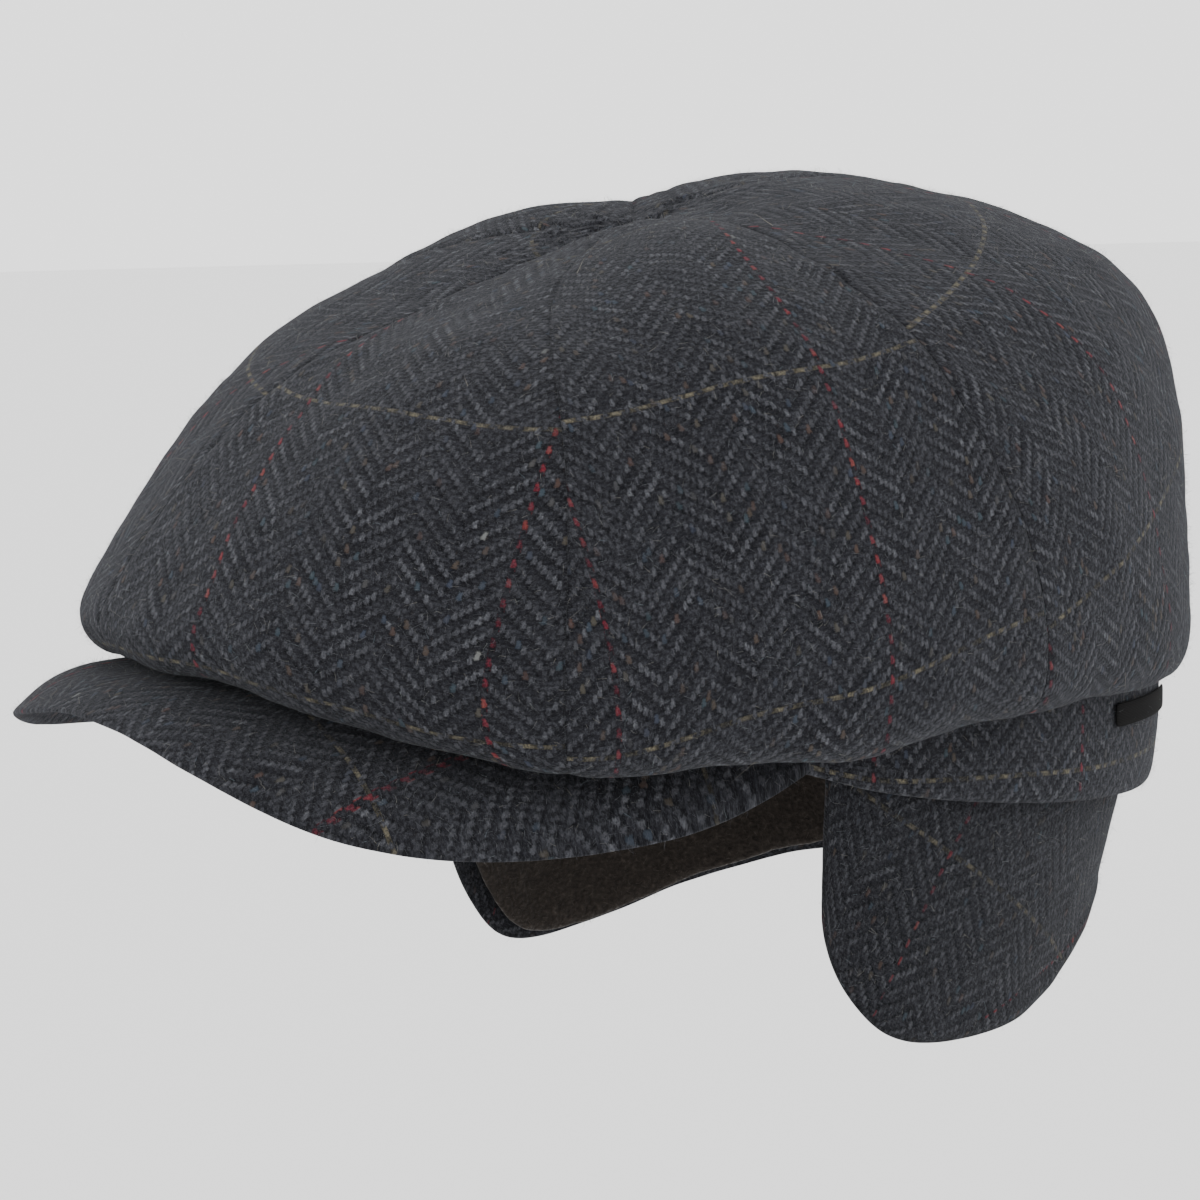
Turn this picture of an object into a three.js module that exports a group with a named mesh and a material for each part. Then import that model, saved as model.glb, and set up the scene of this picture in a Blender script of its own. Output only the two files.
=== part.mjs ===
import * as THREE from "three";

// A six-panel tweed cap with a covered visor and one ear-and-nape flap, in millimetres.
// -Y is the front, +X the wearer's left, +Z up. The origin is the middle of the head opening.
// Every angle is taken about +Z from the front: 0 is the visor, 90 the wearer's left, 180 the nape.

// Driving sizes
const band = { halfWidth: 90, halfLength: 107.5, thickness: 3, napeFlare: 1.6, flareHeight: 14 };
const crownHem = { gap: 0.95, belowTop: 1.5, roomyOverhang: 14 };
const crown = { centreY: -19, thickness: 2.2, seamGap: 0.4, fullness: 0.9 };
const visor = { thickness: 5.5, cornerAngle: 75, bandGap: 0.75, edgeShare: 0.6 };
const flap = { halfWidth: 85.6, halfLength: 102, thickness: 2.4, topTuck: 9 };
const flapFront = { left: 78.5, right: 75.5 };
const lining = { gap: 0.45, thickness: 2, frontMargin: 3.5, edgeMargin: 2 };
const tag = { fromAngle: 124, toAngle: 148, thickness: 0.8, bottom: 14.2, height: 5.6, gap: 0.4 };

// The crown from its middle down to the widest line. Columns: distance from the crown's centre
// to the front, side and rear, the height there, and how far a panel puffs out between its seams.
const crownRings = [
  { front: 1.5, side: 1.5, rear: 1.5, zFront: 125.5, zSide: 125.5, zRear: 125.5, puff: 0 },
  { front: 9, side: 9, rear: 9, zFront: 124, zSide: 126.4, zRear: 128, puff: 0.4 },
  { front: 22, side: 21, rear: 24, zFront: 119.6, zSide: 127.8, zRear: 134, puff: 1 },
  { front: 38, side: 38, rear: 46, zFront: 113, zSide: 127.4, zRear: 136, puff: 1.2 },
  { front: 55.4, side: 55.4, rear: 68.4, zFront: 105.8, zSide: 123, zRear: 132.9, puff: 1.2 },
  { front: 74.6, side: 73.6, rear: 92.6, zFront: 97.4, zSide: 114.8, zRear: 127.4, puff: 1.1 },
  { front: 90.8, side: 88.3, rear: 113.3, zFront: 86.2, zSide: 104.8, zRear: 118.6, puff: 1 },
  { front: 103.9, side: 97.9, rear: 124.9, zFront: 73.8, zSide: 91.3, zRear: 106.3, puff: 0.9 },
  { front: 114.8, side: 104.8, rear: 129.3, zFront: 60.6, zSide: 75.1, zRear: 88.1, puff: 0.8 },
  { front: 122.8, side: 109.8, rear: 130.1, zFront: 49, zSide: 56, zRear: 68, puff: 0.7 },
  { front: 128.3, side: 112.3, rear: 132.3, zFront: 41, zSide: 38, zRear: 46, puff: 0.6 },
];

// The six seams. Columns: the seam's angle at the crown's edge, on the shoulder and near the middle.
// They bend towards the front on top, where the crown has slouched forward.
const seams = [
  { edge: -8, shoulder: -8, top: -8 },
  { edge: 52.5, shoulder: 51, top: 38 },
  { edge: 110.5, shoulder: 102, top: 94 },
  { edge: 172, shoulder: 172, top: 172 },
  { edge: 232, shoulder: 236, top: 241 },
  { edge: 292, shoulder: 297, top: 308 },
];
const seamAt = { top: 0.12, shoulder: 0.5, edge: 0.8 };

// The crown's overhanging lower edge. Columns: angle, and the fold's height on the wearer's left
// and on the right, where the visor stands higher.
const crownEdge = [
  { angle: 0, left: 31.4, right: 31.4 },
  { angle: 12, left: 30.4, right: 31.4 },
  { angle: 30, left: 23.5, right: 29.4 },
  { angle: 44, left: 16.4, right: 25.8 },
  { angle: 57, left: 14, right: 22.8 },
  { angle: 72, left: 16, right: 21 },
  { angle: 87, left: 15.8, right: 20.2 },
  { angle: 103, left: 20.6, right: 21.6 },
  { angle: 130, left: 22.8, right: 22.8 },
  { angle: 180, left: 23.5, right: 23.5 },
];

// The cloth that turns in under the widest line. Columns: how far inside that line, and how far
// above the fold.
const crownUnder = [
  { inset: 0.4, lift: 7 },
  { inset: 3.2, lift: 2 },
  { inset: 8.5, lift: 0 },
  { inset: 14, lift: 2.4 },
];

// The band's lower and upper edge. Columns: angle, lower and upper height.
const bandEdges = [
  { angle: 0, bottom: 28.5, top: 48 },
  { angle: 30, bottom: 26.5, top: 45 },
  { angle: 55, bottom: 19.5, top: 39 },
  { angle: 76, bottom: 10.6, top: 31 },
  { angle: 83, bottom: 6.6, top: 28.5 },
  { angle: 92, bottom: 3.6, top: 26.5 },
  { angle: 105, bottom: 0.6, top: 26 },
  { angle: 125, bottom: -2.2, top: 26.5 },
  { angle: 180, bottom: -3, top: 27 },
];

// How far the visor arches up between its root and its free edge, which bends down most beside
// the front. Columns: angle of the root, right to left, and the rise.
const visorArch = [
  { angle: -75, rise: 1.5 },
  { angle: -52, rise: 6 },
  { angle: -30, rise: 6.5 },
  { angle: -5, rise: 2.5 },
  { angle: 10, rise: 1.5 },
  { angle: 40, rise: 2.6 },
  { angle: 75, rise: 1.5 },
];
const archTowardsEdge = 2;

// The visor's free edge from the right corner to the left one, at half its thickness. The right
// side is held a little higher than the left.
const visorEdge = [
  { x: -88.6, y: -27, z: 13 },
  { x: -90, y: -45, z: 10 },
  { x: -90.5, y: -70, z: 8.5 },
  { x: -87.5, y: -99, z: 8.5 },
  { x: -80, y: -122, z: 10 },
  { x: -69, y: -138.5, z: 12 },
  { x: -52, y: -150.5, z: 16.5 },
  { x: -28, y: -157, z: 20 },
  { x: 0, y: -158.5, z: 22.8 },
  { x: 27, y: -155.5, z: 19 },
  { x: 50, y: -147, z: 10.6 },
  { x: 69, y: -133, z: 2.4 },
  { x: 82, y: -112, z: -2 },
  { x: 89, y: -85, z: -2.2 },
  { x: 90.5, y: -58, z: 0.8 },
  { x: 89.5, y: -40, z: 6.2 },
  { x: 88.6, y: -27, z: 12 },
];

// The flap's lower edge on the wearer's left and right, from the front corner at the ear to the
// nape. Columns: how far round from the front corner to the nape, and the height there.
const flapEdge = {
  left: [
    { round: 0, z: -22 },
    { round: 0.008, z: -29 },
    { round: 0.033, z: -38 },
    { round: 0.09, z: -48 },
    { round: 0.17, z: -51.8 },
    { round: 0.265, z: -52 },
    { round: 0.36, z: -50 },
    { round: 0.445, z: -45.5 },
    { round: 0.56, z: -36.5 },
    { round: 0.68, z: -30 },
    { round: 1, z: -29 },
  ],
  right: [
    { round: 0, z: -24 },
    { round: 0.02, z: -34 },
    { round: 0.045, z: -42 },
    { round: 0.08, z: -49 },
    { round: 0.13, z: -51 },
    { round: 0.18, z: -49.5 },
    { round: 0.26, z: -45.5 },
    { round: 0.35, z: -39.5 },
    { round: 0.44, z: -35 },
    { round: 0.52, z: -31.5 },
    { round: 0.68, z: -29 },
    { round: 1, z: -29 },
  ],
};

// How the flap leans in below the band. Columns: height and inward lean at the ear and the nape.
const flapLean = [
  { z: 20, ear: 0, nape: 0 },
  { z: 4, ear: 0.2, nape: 0.6 },
  { z: -4, ear: 0.8, nape: 2.2 },
  { z: -16, ear: 1.4, nape: 5.2 },
  { z: -30, ear: 2, nape: 8.5 },
  { z: -52, ear: 3.4, nape: 12 },
];

const grid = { panelRows: 20, bandColumns: 72, bandRows: 2 };
const visorGrid = { columns: 32, rows: 6, crowding: 1.4 };
const flapGrid = { columns: 52, rows: 6, crowding: 1.35 };
const tagGrid = { columns: 6, rows: 1 };
// Across a panel the columns crowd towards the seams, where the cloth dips.
const panelShares = [0, 0.03, 0.1, 0.22, 0.36, 0.5, 0.64, 0.78, 0.9, 0.97, 1];
// How far up and down the meridian a panel's slope is read, as a share of its length.
const slopeStep = 0.01;

const tweed = { color: 0x2b303a, roughness: 0.95, metalness: 0 };
const pile = { color: 0x14120f, roughness: 1, metalness: 0 };
const label = { color: 0x0c0c0e, roughness: 0.7, metalness: 0 };

const radians = THREE.MathUtils.degToRad;

// A smooth curve through a table: value of `column` where `key` is `at`, with level ends.
function fromTable(table, key, column, at) {
  const rising = table[0][key] < table[table.length - 1][key];
  const rows = rising ? table : [...table].reverse();
  if (at <= rows[0][key]) return rows[0][column];
  const last = rows.length - 1;
  if (at >= rows[last][key]) return rows[last][column];
  const i = rows.findIndex((row, index) => index < last && at < rows[index + 1][key]);
  const slope = (n) => {
    if (n === 0 || n === last) return 0;
    return (rows[n + 1][column] - rows[n - 1][column]) / (rows[n + 1][key] - rows[n - 1][key]);
  };
  const span = rows[i + 1][key] - rows[i][key];
  const f = (at - rows[i][key]) / span;
  const rise = rows[i + 1][column] - rows[i][column];
  const curve = slope(i) * span * f * (1 - f) ** 2 - slope(i + 1) * span * f * f * (1 - f);
  return rows[i][column] + rise * (3 - 2 * f) * f * f + curve;
}

// The angle folded to the wearer's left side, 0 to 180 degrees.
function folded(angle) {
  const turn = ((angle % 360) + 360) % 360;
  return turn > 180 ? 360 - turn : turn;
}

function bandBottom(angle) {
  return fromTable(bandEdges, "angle", "bottom", folded(angle));
}

function bandTop(angle) {
  return fromTable(bandEdges, "angle", "top", folded(angle));
}

// A point on an upright elliptical wall.
function wallPoint(halfWidth, halfLength, angle, z) {
  const a = radians(angle);
  return new THREE.Vector3(halfWidth * Math.sin(a), -halfLength * Math.cos(a), z);
}

// How much an angle belongs to the nape: 0 from the front to the ears, 1 at the back.
function napeShare(angle) {
  return Math.max(0, -Math.cos(radians(angle)));
}

// A point `outset` millimetres outside the band's outer face, which flares a little at the nape.
function bandPoint(angle, z, outset) {
  const up = THREE.MathUtils.clamp((z - bandBottom(angle)) / band.flareHeight, 0, 1);
  const out = outset + band.napeFlare * napeShare(angle) * up;
  return wallPoint(band.halfWidth + out, band.halfLength + out, angle, z);
}

// Distance from the crown's centre to the band's outer face.
function reachToBand(angle) {
  const a = radians(angle);
  const flare = band.napeFlare * napeShare(angle);
  const across = Math.sin(a) / (band.halfWidth + flare);
  const along = -Math.cos(a) / (band.halfLength + flare);
  const start = crown.centreY / (band.halfLength + flare);
  const square = across ** 2 + along ** 2;
  return (-along * start + Math.sqrt((along * start) ** 2 + square * (1 - start ** 2))) / square;
}

// The crown's meridian at one angle, from the middle of the top to the hem at the band. Fullness
// is 0 on a seam, where the cloth lies lowest, and 1 in the middle of a panel.
function crownMeridian(angle, fullness) {
  const a = radians(angle);
  const cos = Math.cos(a);
  const end = cos > 0 ? "front" : "rear";
  const zEnd = cos > 0 ? "zFront" : "zRear";
  const base = crownRings.map((ring) => ({
    r: 1 / Math.hypot(Math.sin(a) / ring.side, cos / ring[end]),
    z: ring.zSide + (ring[zEnd] - ring.zSide) * cos * cos,
    puff: ring.puff,
  }));
  const widest = base[base.length - 1];
  const side = Math.sin(a) > 0 ? "left" : "right";
  const fold = fromTable(crownEdge, "angle", side, folded(angle));
  const bandFace = reachToBand(angle);
  // Where the edge hangs close to the band its fold is tighter.
  const overhang = widest.r - bandFace;
  const tight = Math.min(1, overhang / crownHem.roomyOverhang);
  for (const row of crownUnder) {
    if (row.inset * tight > overhang - crownHem.gap) continue;
    base.push({ r: widest.r - row.inset * tight, z: fold + row.lift, puff: widest.puff / 2 });
  }
  base.push({ r: bandFace + crownHem.gap, z: bandTop(angle) - crownHem.belowTop, puff: 0 });
  const points = base.map((p, i) => {
    const before = base[Math.max(i - 1, 0)];
    const after = base[Math.min(i + 1, base.length - 1)];
    const length = Math.hypot(after.r - before.r, after.z - before.z);
    const r = p.r - (p.puff * fullness * (after.z - before.z)) / length;
    const z = p.z + (p.puff * fullness * (after.r - before.r)) / length;
    return new THREE.Vector3(r, z, 0);
  });
  return new THREE.CatmullRomCurve3(points, false, "centripetal");
}

// A point of the crown's outer face: how far down its meridian, from 0 in the middle to 1 at the
// hem, and how far across the panel between two seams, from 0 to 1.
function crownPoint(down, across, firstSeam, secondSeam) {
  const seamAngle = (seam) => {
    if (down < seamAt.top) return seam.top;
    const stops = Object.keys(seamAt).map((stop) => ({ down: seamAt[stop], angle: seam[stop] }));
    return fromTable(stops, "down", "angle", down);
  };
  const first = seamAngle(firstSeam);
  const second = seamAngle(secondSeam);
  const fullness = Math.max(Math.sin(Math.PI * across), 0) ** crown.fullness;
  const onPlan = THREE.MathUtils.lerp(first, second, across);
  const reach = crownMeridian(onPlan, fullness).getPointAt(down).x;
  // Each panel stops just short of its seams.
  const trim = THREE.MathUtils.radToDeg(Math.asin(crown.seamGap / 2 / reach));
  const angle = THREE.MathUtils.lerp(first + trim, second - trim, across);
  const p = crownMeridian(angle, fullness).getPointAt(down);
  const a = radians(angle);
  return new THREE.Vector3(p.x * Math.sin(a), crown.centreY - p.x * Math.cos(a), p.y);
}

// A closed wall between an outer and an inner sheet of points, which share rows and columns.
// A ring's last column joins its first.
function wallGeometry(outer, inner, ring = false) {
  const columns = outer.length;
  const rows = outer[0].length;
  const points = [...outer.flat(), ...inner.flat()];
  const at = (sheet, i, j) => sheet * columns * rows + (i % columns) * rows + j;
  const index = [];
  const quad = (a, b, c, d) => index.push(a, b, c, a, c, d);
  const lastColumn = ring ? columns : columns - 1;
  for (let i = 0; i < lastColumn; i++) {
    for (let j = 0; j < rows - 1; j++) {
      quad(at(0, i, j), at(0, i, j + 1), at(0, i + 1, j + 1), at(0, i + 1, j));
      quad(at(1, i, j), at(1, i + 1, j), at(1, i + 1, j + 1), at(1, i, j + 1));
    }
    quad(at(0, i, 0), at(0, i + 1, 0), at(1, i + 1, 0), at(1, i, 0));
    quad(at(0, i, rows - 1), at(1, i, rows - 1), at(1, i + 1, rows - 1), at(0, i + 1, rows - 1));
  }
  if (!ring) {
    for (let j = 0; j < rows - 1; j++) {
      const end = columns - 1;
      quad(at(0, 0, j), at(1, 0, j), at(1, 0, j + 1), at(0, 0, j + 1));
      quad(at(0, end, j), at(0, end, j + 1), at(1, end, j + 1), at(1, end, j));
    }
  }
  const geometry = new THREE.BufferGeometry().setFromPoints(points);
  geometry.setIndex(index);
  geometry.computeVertexNormals();
  return geometry;
}

// The second sheet of a wall, `thickness` behind the first. Thickness may change by row and column.
function backSheet(front, thickness) {
  const columns = front.length;
  const rows = front[0].length;
  return front.map((column, i) =>
    column.map((point, j) => {
      const left = front[Math.max(i - 1, 0)][j];
      const right = front[Math.min(i + 1, columns - 1)][j];
      const above = column[Math.max(j - 1, 0)];
      const below = column[Math.min(j + 1, rows - 1)];
      const along = new THREE.Vector3().subVectors(right, left);
      const down = new THREE.Vector3().subVectors(below, above);
      const outward = down.cross(along).normalize();
      return point.clone().addScaledVector(outward, -thickness(i, j));
    }),
  );
}

function piece(name, geometry, finish) {
  const mesh = new THREE.Mesh(geometry, new THREE.MeshStandardMaterial(finish));
  mesh.name = name;
  return mesh;
}

// One of the six crown panels, a curved triangle of cloth from the top's middle to the band.
function crownPanel(name, firstSeam, secondSeam) {
  const outer = [];
  const inner = [];
  for (const across of panelShares) {
    const columnOut = [];
    const columnIn = [];
    for (let j = 0; j <= grid.panelRows; j++) {
      const down = j / grid.panelRows;
      const point = crownPoint(down, across, firstSeam, secondSeam);
      const upper = crownPoint(Math.max(down - slopeStep, 0), across, firstSeam, secondSeam);
      const lower = crownPoint(Math.min(down + slopeStep, 1), across, firstSeam, secondSeam);
      // The wall is as thick as the cloth square to a level line, so that the faces along a seam
      // stay side by side.
      const round = new THREE.Vector3(crown.centreY - point.y, point.x, 0).normalize();
      const outward = lower.sub(upper).cross(round).normalize();
      columnOut.push(point);
      columnIn.push(point.clone().addScaledVector(outward, -crown.thickness));
    }
    outer.push(columnOut);
    inner.push(columnIn);
  }
  return piece(name, wallGeometry(outer, inner), tweed);
}

// The upright ring of doubled cloth around the head.
function bandRing() {
  const outer = [];
  const inner = [];
  for (let i = 0; i < grid.bandColumns; i++) {
    const angle = (i * 360) / grid.bandColumns;
    const columnOut = [];
    const columnIn = [];
    for (let j = 0; j <= grid.bandRows; j++) {
      const z = THREE.MathUtils.lerp(bandTop(angle), bandBottom(angle), j / grid.bandRows);
      columnOut.push(bandPoint(angle, z, 0));
      columnIn.push(bandPoint(angle, z, -band.thickness));
    }
    outer.push(columnOut);
    inner.push(columnIn);
  }
  return piece("band", wallGeometry(outer, inner, true), tweed);
}

// The arched visor, from its root along the band's lower edge to its free edge.
function visorPlate() {
  const points = visorEdge.map((p) => new THREE.Vector3(p.x, p.y, p.z));
  const edge = new THREE.CatmullRomCurve3(points, false, "centripetal");
  const sheet = [];
  for (let i = 0; i <= visorGrid.columns; i++) {
    const share = i / visorGrid.columns;
    const angle = (2 * share - 1) * visor.cornerAngle;
    const halfWidth = band.halfWidth + visor.bandGap;
    const halfLength = band.halfLength + visor.bandGap;
    const middle = bandBottom(angle) + visor.thickness / 2;
    const root = wallPoint(halfWidth, halfLength, angle, middle);
    const free = edge.getPointAt(share);
    const rise = fromTable(visorArch, "angle", "rise", angle);
    const column = [];
    for (let j = 0; j <= visorGrid.rows; j++) {
      const out = 1 - (1 - j / visorGrid.rows) ** visorGrid.crowding;
      const point = root.clone().lerp(free, out);
      point.z += rise * Math.sin(Math.PI * out ** archTowardsEdge);
      column.push(point);
    }
    sheet.push(column);
  }
  // Half the thickness on each side of the middle sheet, less at the folded free edge.
  const halfThickness = (i, j) => {
    const atEdge = j === visorGrid.rows ? visor.edgeShare : 1;
    return (visor.thickness / 2) * atEdge;
  };
  const top = backSheet(sheet, (i, j) => -halfThickness(i, j));
  const under = backSheet(sheet, halfThickness);
  // The root and both corners are upright, against the band.
  sheet.forEach((column, i) => {
    column.forEach((point, j) => {
      if (j > 0 && i > 0 && i < visorGrid.columns) return;
      top[i][j].copy(point).setZ(point.z + halfThickness(i, j));
      under[i][j].copy(point).setZ(point.z - halfThickness(i, j));
    });
  });
  return piece("visor", wallGeometry(top, under), tweed);
}

// A point of the flap's wall, `inside` millimetres behind its outer face.
function flapPoint(angle, z, inside) {
  const ear = fromTable(flapLean, "z", "ear", z);
  const nape = fromTable(flapLean, "z", "nape", z);
  const lean = THREE.MathUtils.lerp(ear, nape, napeShare(angle));
  const halfWidth = flap.halfWidth - lean - inside;
  return wallPoint(halfWidth, flap.halfLength - lean - inside, angle, z);
}

// A strip of the flap from ear to ear round the nape, with its edges held back by the margins.
function flapWall(name, inside, thickness, frontMargin, edgeMargin, finish) {
  const outer = [];
  const inner = [];
  const margin = THREE.MathUtils.radToDeg(frontMargin / flap.halfWidth);
  for (let i = 0; i <= flapGrid.columns; i++) {
    // Columns crowd towards the ears, where the edge turns most.
    const share = (2 * i) / flapGrid.columns - 1;
    const side = share < 0 ? "left" : "right";
    const round = (1 - Math.abs(share)) ** flapGrid.crowding;
    const from = flapFront[side] + margin;
    const angle = 180 + Math.sign(share) * (1 - round) * (180 - from);
    const bottom = fromTable(flapEdge[side], "round", "z", round) + edgeMargin;
    const top = bandBottom(angle) + flap.topTuck;
    const columnOut = [];
    const columnIn = [];
    for (let j = 0; j <= flapGrid.rows; j++) {
      const z = THREE.MathUtils.lerp(top, bottom, j / flapGrid.rows);
      columnOut.push(flapPoint(angle, z, inside));
      columnIn.push(flapPoint(angle, z, inside + thickness));
    }
    outer.push(columnOut);
    inner.push(columnIn);
  }
  return piece(name, wallGeometry(outer, inner), finish);
}

// A small bare woven label on the band, under the crown's edge at the left rear.
function sideTag() {
  const outer = [];
  const inner = [];
  for (let i = 0; i <= tagGrid.columns; i++) {
    const angle = THREE.MathUtils.lerp(tag.fromAngle, tag.toAngle, i / tagGrid.columns);
    const columnOut = [];
    const columnIn = [];
    for (const z of [tag.bottom + tag.height, tag.bottom]) {
      columnOut.push(bandPoint(angle, z, tag.gap + tag.thickness));
      columnIn.push(bandPoint(angle, z, tag.gap));
    }
    outer.push(columnOut);
    inner.push(columnIn);
  }
  return piece("side_tag", wallGeometry(outer, inner), label);
}

// The same seam, one turn further round.
function wholeTurn(seam) {
  return { edge: seam.edge + 360, shoulder: seam.shoulder + 360, top: seam.top + 360 };
}

const cap = new THREE.Group();
const panelNames = ["front_left", "side_left", "back_left", "back_right", "side_right", "front_right"];
panelNames.forEach((name, i) => {
  const next = i + 1 < seams.length ? seams[i + 1] : wholeTurn(seams[0]);
  cap.add(crownPanel(`crown_panel_${name}`, seams[i], next));
});
cap.add(bandRing());
cap.add(visorPlate());
cap.add(flapWall("ear_flap", 0, flap.thickness, 0, 0, tweed));
const liningInside = flap.thickness + lining.gap;
const { frontMargin, edgeMargin } = lining;
cap.add(flapWall("ear_flap_lining", liningInside, lining.thickness, frontMargin, edgeMargin, pile));
cap.add(sideTag());

export default cap;
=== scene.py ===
# Winter cap: six tweed crown panels, a cloth band, an arched visor and one lined flap
# over the ears and nape. Everything is in metres; tables in millimetres are scaled by mm.
import math

import bmesh
import bpy
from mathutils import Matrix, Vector, noise


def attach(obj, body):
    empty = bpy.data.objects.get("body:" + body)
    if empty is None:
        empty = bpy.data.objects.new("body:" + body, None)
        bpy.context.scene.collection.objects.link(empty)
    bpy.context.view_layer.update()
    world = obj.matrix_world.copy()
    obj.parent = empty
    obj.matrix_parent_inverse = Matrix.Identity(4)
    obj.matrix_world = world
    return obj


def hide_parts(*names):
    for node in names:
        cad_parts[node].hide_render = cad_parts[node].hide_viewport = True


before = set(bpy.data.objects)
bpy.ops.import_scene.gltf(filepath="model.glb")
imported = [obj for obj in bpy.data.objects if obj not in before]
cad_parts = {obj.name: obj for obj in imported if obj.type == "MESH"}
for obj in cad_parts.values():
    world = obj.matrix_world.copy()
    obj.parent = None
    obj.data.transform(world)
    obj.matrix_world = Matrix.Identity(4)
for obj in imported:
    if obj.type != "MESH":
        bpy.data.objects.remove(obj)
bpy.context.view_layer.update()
mm = 0.001


# Camera
cameraSetup = {
    "azimuth": 60, "elevation": 6,   # degrees round the cap and above the horizon
    "distance": 1.3,                 # from the origin
    "fieldWidth": 0.2759,            # what the frame takes in at that distance
    "aimRight": -0.0244, "aimUp": 0.0391,
    "sensor": 36, "nearest": 0.05, "furthest": 30,
}


def makeCamera(setup):
    azimuth, elevation = math.radians(setup["azimuth"]), math.radians(setup["elevation"])
    right = Vector((math.cos(azimuth), math.sin(azimuth), 0))
    back = Vector((
        math.sin(azimuth) * math.cos(elevation),
        -math.cos(azimuth) * math.cos(elevation),
        math.sin(elevation),
    ))
    aim = right * setup["aimRight"] + back.cross(right) * setup["aimUp"]
    data = bpy.data.cameras.new("camera")
    data.sensor_width = setup["sensor"]
    data.lens = setup["sensor"] * setup["distance"] / setup["fieldWidth"]
    data.clip_start, data.clip_end = setup["nearest"], setup["furthest"]
    camera = bpy.data.objects.new("camera", data)
    bpy.context.collection.objects.link(camera)
    camera.location = aim + back * setup["distance"]
    camera.rotation_mode = "QUATERNION"
    camera.rotation_quaternion = (-back).to_track_quat("-Z", "Y")
    bpy.context.scene.camera = camera


makeCamera(cameraSetup)
print("camera ready")


# The cap's main sizes in millimetres; angles run from the front towards the wearer's left
bandSize = {"halfWidth": 90, "halfLength": 107.5, "thickness": 3, "napeFlare": 1.6, "flareHeight": 14}
crownSize = {
    "centreY": -19, "thickness": 2.2,
    "fullness": 0.9,   # how roundly a panel puffs out between its seams
    "hemGap": 0.95, "hemBelowTop": 1.5, "roomyOverhang": 14,
    "tip": 0.02,       # the panels' points meet this close to the middle
    "curveSteps": 6,   # how finely a meridian is drawn between two rings
    "reliefFrom": 50, "seamBlend": 3,   # height and reach of what keeps the seams closed
}
visorSize = {"thickness": 5.5, "cornerAngle": 75, "bandGap": 0.75, "archTowardsEdge": 2, "crowding": 1.4}
flapSize = {
    "halfWidth": 85.6, "halfLength": 102, "thickness": 2.4, "topTuck": 9,
    "left": 78.5, "right": 75.5,   # angles of the front corners
    "crowding": 1.35,
}
liningSize = {"gap": 0.45, "thickness": 2, "frontMargin": 3.5, "edgeMargin": 2}
tagSize = {"fromAngle": 124, "toAngle": 148, "thickness": 0.8, "bottom": 14.2, "height": 5.6, "gap": 0.4}

# The crown's rings from its middle to the widest line: reach to the front, side and rear,
# height at the front, side and rear, and how far a panel puffs out between its seams
crownRings = [
    (1.5, 1.5, 1.5, 125.5, 125.5, 125.5, 0),
    (9, 9, 9, 124, 126.4, 128, 0.4),
    (22, 21, 24, 119.6, 127.8, 134, 1),
    (38, 38, 46, 113, 127.4, 136, 1.2),
    (55.4, 55.4, 68.4, 105.8, 123, 132.9, 1.2),
    (74.6, 73.6, 92.6, 97.4, 114.8, 127.4, 1.1),
    (90.8, 88.3, 113.3, 86.2, 104.8, 118.6, 1),
    (103.9, 97.9, 124.9, 73.8, 91.3, 106.3, 0.9),
    (114.8, 104.8, 129.3, 60.6, 75.1, 88.1, 0.8),
    (122.8, 109.8, 130.1, 49, 56, 68, 0.7),
    (128.3, 112.3, 132.3, 41, 38, 46, 0.6),
]
# Seams: how far down the panel, and the angles of the six seams there
seamAngles = [
    (0.12, -8, 38, 94, 172, 241, 308),
    (0.5, -8, 51, 102, 172, 236, 297),
    (0.8, -8, 52.5, 110.5, 172, 232, 292),
]
# The crown's overhanging edge: angle, height of its fold on the wearer's left and right
crownEdge = [
    (0, 31.4, 31.4), (12, 30.4, 31.4), (30, 23.5, 29.4), (44, 16.4, 25.8), (57, 14, 22.8),
    (72, 16, 21), (87, 15.8, 20.2), (103, 20.6, 21.6), (130, 22.8, 22.8), (180, 23.5, 23.5),
]
# Cloth turned in under the widest line: distance in, height over the fold
crownUnder = [(0.4, 7), (3.2, 2), (8.5, 0), (14, 2.4)]
# The band's edges: angle, lower height, upper height
bandEdges = [
    (0, 28.5, 48), (30, 26.5, 45), (55, 19.5, 39), (76, 10.6, 31), (83, 6.6, 28.5),
    (92, 3.6, 26.5), (105, 0.6, 26), (125, -2.2, 26.5), (180, -3, 27),
]
# How far the visor arches up between its root and its free edge: angle of the root, rise
visorArch = [(-75, 1.5), (-52, 6), (-30, 6.5), (-5, 2.5), (10, 1.5), (40, 2.6), (75, 1.5)]
# The visor's free edge from the right corner to the left one
visorEdge = [
    (-88.6, -27, 13), (-90, -45, 10), (-90.5, -70, 8.5), (-87.5, -99, 8.5), (-80, -122, 10),
    (-69, -138.5, 12), (-52, -150.5, 16.5), (-28, -157, 20), (0, -158.5, 22.8), (27, -155.5, 19),
    (50, -147, 10.6), (69, -133, 2.4), (82, -112, -2), (89, -85, -2.2), (90.5, -58, 0.8),
    (89.5, -40, 6.2), (88.6, -27, 12),
]
# The flap's lower edge from the front corner (0) to the nape (1) on each side
flapEdge = {
    "left": [
        (0, -22), (0.008, -29), (0.033, -38), (0.09, -48), (0.17, -51.8), (0.265, -52),
        (0.36, -50), (0.445, -45.5), (0.56, -36.5), (0.68, -30), (1, -29),
    ],
    "right": [
        (0, -24), (0.02, -34), (0.045, -42), (0.08, -49), (0.13, -51), (0.18, -49.5),
        (0.26, -45.5), (0.35, -39.5), (0.44, -35), (0.52, -31.5), (0.68, -29), (1, -29),
    ],
}
# How the flap leans in: height, lean at the ear, lean at the nape
flapLean = [(-52, 3.4, 12), (-30, 2, 8.5), (-16, 1.4, 5.2), (-4, 0.8, 2.2), (4, 0.2, 0.6), (20, 0, 0)]


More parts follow.
